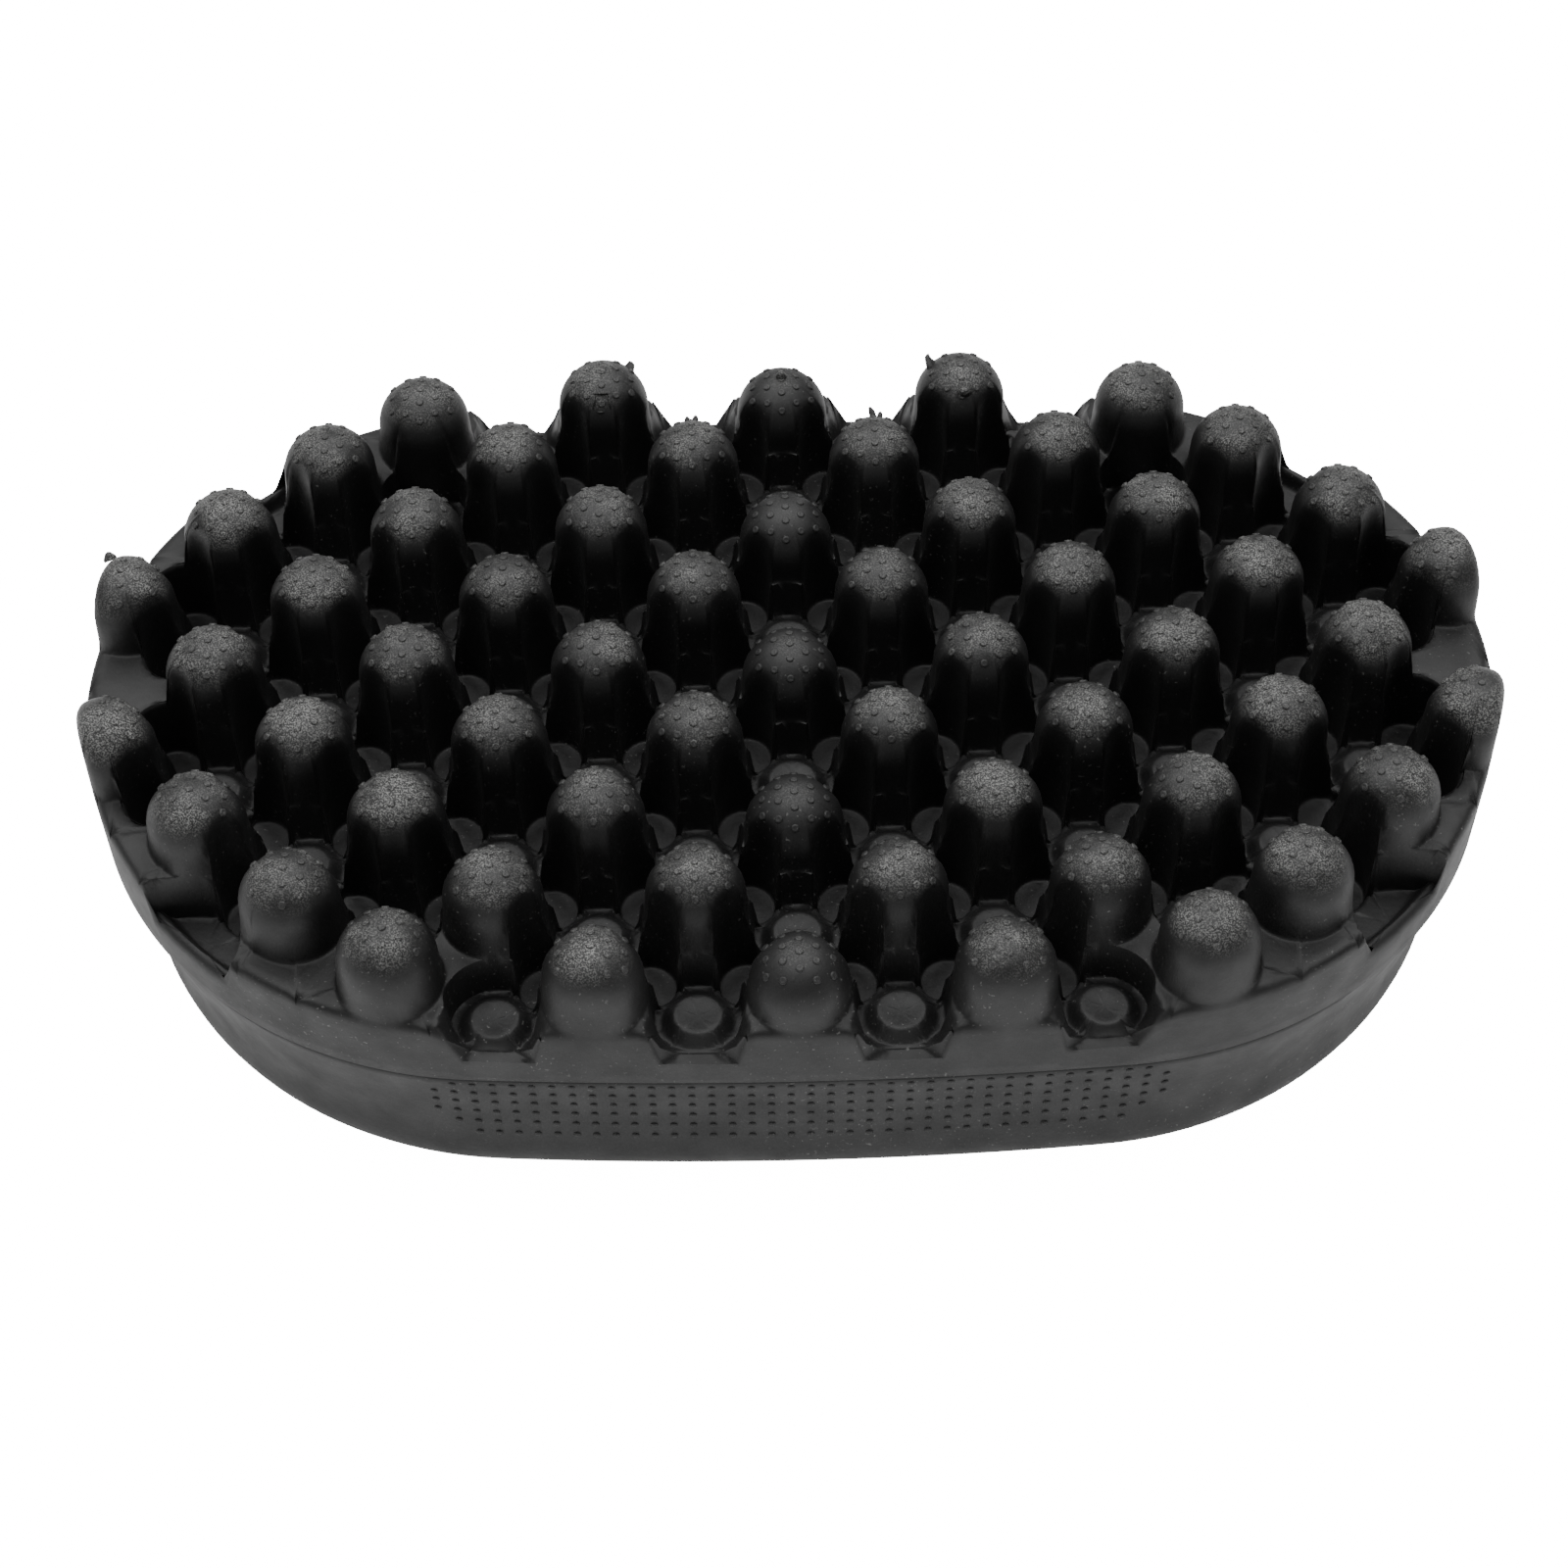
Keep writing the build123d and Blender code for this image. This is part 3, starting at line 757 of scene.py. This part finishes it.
# ---------------------------------------------------------------- materials
def rubber(name, dust_and_sheen_height=None, painted_highlight_gain=1.0):
    """Matt black rubber, with faint mottling, a fine grain and dust specks. Between given heights the
    colour lightens towards the tips: dust, together with painted top sheen. A gain above 1 makes a lighter
    copy of the colour, a painted highlight.
    """
    # Both tones are scaled by this gain; above 1 the copy is lighter, a painted highlight.
    dark, light = [(*(part * painted_highlight_gain for part in tone[:3]), 1) for tone in (RUBBER_DARK, RUBBER_LIGHT)]
    material = bpy.data.materials.new(name)
    material.use_nodes = True
    nodes = material.node_tree.nodes
    links = material.node_tree.links
    shader = nodes["Principled BSDF"]
    place = nodes.new("ShaderNodeNewGeometry").outputs["Position"]

    def noise(scale, detail, rough=0.5):
        node = nodes.new("ShaderNodeTexNoise")
        node.inputs["Scale"].default_value = scale
        node.inputs["Detail"].default_value = detail
        node.inputs["Roughness"].default_value = rough
        links.new(place, node.inputs["Vector"])
        return node.outputs["Fac"]

    def remap(value, low, high, to_low, to_high):
        node = nodes.new("ShaderNodeMapRange")
        links.new(value, node.inputs["Value"])
        node.inputs["From Min"].default_value = low
        node.inputs["From Max"].default_value = high
        node.inputs["To Min"].default_value = to_low
        node.inputs["To Max"].default_value = to_high
        return node.outputs["Result"]

    def multiply(a, b):
        node = nodes.new("ShaderNodeMath")
        node.operation = "MULTIPLY"
        links.new(a, node.inputs[0])
        links.new(b, node.inputs[1])
        return node.outputs["Value"]

    def mix(factor, a, b):
        node = nodes.new("ShaderNodeMix")
        node.data_type = "RGBA"
        links.new(factor, node.inputs["Factor"])
        for value, socket in ((a, node.inputs["A"]), (b, node.inputs["B"])):
            if isinstance(value, tuple):
                socket.default_value = value
            else:
                links.new(value, socket)
        return node.outputs["Result"]

    mottle = remap(noise(90, 3), 0.35, 0.65, 0, 1)
    colour = mix(mottle, dark, light)
    roughness = remap(noise(260, 4), 0.3, 0.7, 0.46, 0.60)
    specks = remap(noise(2600, 2), 0.66, 0.74, 0, 0.35)
    colour = mix(multiply(specks, remap(noise(60, 1), 0.42, 0.6, 0, 1)), colour, DUST_AND_SHEEN)
    # Dust together with painted top sheen: the colour lightens towards the tips, in patches and grains.
    if dust_and_sheen_height is not None:
        split = nodes.new("ShaderNodeSeparateXYZ")
        links.new(place, split.inputs["Vector"])
        high = remap(split.outputs["Z"], dust_and_sheen_height[0], dust_and_sheen_height[1], 0, 1)
        patches = remap(noise(260, 3), 0.36, 0.66, 0.15, 1)
        grains = remap(noise(7000, 3), 0.47, 0.60, 0.05, 0.75)
        colour = mix(multiply(multiply(high, patches), grains), colour, DUST_AND_SHEEN)
    links.new(colour, shader.inputs["Base Color"])
    links.new(roughness, shader.inputs["Roughness"])
    grain = nodes.new("ShaderNodeBump")
    grain.inputs["Strength"].default_value = 0.25
    grain.inputs["Distance"].default_value = 0.00012
    links.new(noise(1500, 4, 0.6), grain.inputs["Height"])
    links.new(grain.outputs["Normal"], shader.inputs["Normal"])
    return material


def plain(name, colour, roughness):
    material = bpy.data.materials.new(name)
    material.use_nodes = True
    shader = material.node_tree.nodes["Principled BSDF"]
    shader.inputs["Base Color"].default_value = colour
    shader.inputs["Roughness"].default_value = roughness
    return material


# ---------------------------------------------------------------- the object
# heights over which dust and painted top sheen lighten the nubs' tips
tips = (CROWN_Z + DUST_AND_SHEEN_FROM * PITCH, CROWN_Z + DUST_AND_SHEEN_TO * PITCH)
pad_rubber = rubber("pad_rubber_look", tips)
grip_rubber = rubber("grip_rubber_look")

pad = build_pad().make("pad", pad_rubber, "pad_rubber", weld=0.0015)
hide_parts("massage_pad")
# The tip bumps' rubber is a lighter copy, a painted highlight on them, with the tips' dust and painted top
# sheen too.
bumps = build_tip_bumps().make("tip_bumps", rubber("bump_rubber_look", tips, BUMP_PAINTED_HIGHLIGHT), "pad_rubber")
flash = build_flash().make("mould_flash", pad_rubber, "pad_rubber")
grip = build_grip().make("grip", grip_rubber, "grip_rubber")
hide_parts("grip_body")
dots = build_grip_dots().make("grip_dots", grip_rubber, "grip_rubber")

# ---------------------------------------------------------------- floor, light and camera
floor_mesh = bpy.data.meshes.new("floor")
floor_mesh.from_pydata([(-3, -3, 0), (3, -3, 0), (3, 3, 0), (-3, 3, 0)], [], [(0, 1, 2, 3)])
floor = bpy.data.objects.new("floor", floor_mesh)
bpy.context.scene.collection.objects.link(floor)
paper = plain("floor_paper", (0.93, 0.93, 0.93, 1), 0.9)
glow = paper.node_tree.nodes["Principled BSDF"]
glow.inputs["Emission Color"].default_value = (1, 1, 1, 1)
seen = paper.node_tree.nodes.new("ShaderNodeLightPath")
brightness = paper.node_tree.nodes.new("ShaderNodeMapRange")
brightness.inputs["To Min"].default_value = FLOOR_GLOW
brightness.inputs["To Max"].default_value = FLOOR_WHITE
paper.node_tree.links.new(seen.outputs["Is Camera Ray"], brightness.inputs["Value"])
paper.node_tree.links.new(brightness.outputs["Result"], glow.inputs["Emission Strength"])
floor_mesh.materials.append(paper)

world = bpy.data.worlds.new("studio")
world.use_nodes = True
bpy.context.scene.world = world
sky = world.node_tree.nodes
direction = sky.new("ShaderNodeTexCoord")
axes = sky.new("ShaderNodeSeparateXYZ")
world.node_tree.links.new(direction.outputs["Generated"], axes.inputs["Vector"])
by_height = sky.new("ShaderNodeMapRange")
world.node_tree.links.new(axes.outputs["Z"], by_height.inputs["Value"])
by_height.inputs["From Min"].default_value = 0.05
by_height.inputs["From Max"].default_value = 0.55
by_height.inputs["To Min"].default_value = HORIZON_LIGHT
by_height.inputs["To Max"].default_value = SKY_LIGHT
world.node_tree.links.new(by_height.outputs["Result"], sky["Background"].inputs["Strength"])
sky["Background"].inputs["Color"].default_value = (1, 1, 1, 1)


def area_light(name, place, target, size, power):
    light = bpy.data.lights.new(name, "AREA")
    light.shape = "RECTANGLE"
    light.size, light.size_y = size
    light.energy = power
    lamp = bpy.data.objects.new(name, light)
    lamp.location = place
    lamp.rotation_euler = (Vector(target) - Vector(place)).to_track_quat("-Z", "Y").to_euler()
    bpy.context.scene.collection.objects.link(lamp)


area_light("top_softbox", (-0.03, 0.16, 0.62), (0, 0, 0.02), (1.1, 0.9), 7.6)

camera_data = bpy.data.cameras.new("camera")
camera_data.lens = 74.86
camera_data.sensor_width = 36
camera = bpy.data.objects.new("camera", camera_data)
right = Vector((0.99972, -0.02225, -0.00841))
up = Vector((0.02245, 0.76599, 0.64246))
back = Vector((-0.00785, -0.64247, 0.76627))
facing = Matrix((right, up, back)).transposed().to_4x4()
camera.matrix_world = Matrix.Translation((-0.00321, -0.20585, 0.25714)) @ facing
bpy.context.scene.collection.objects.link(camera)
bpy.context.scene.camera = camera
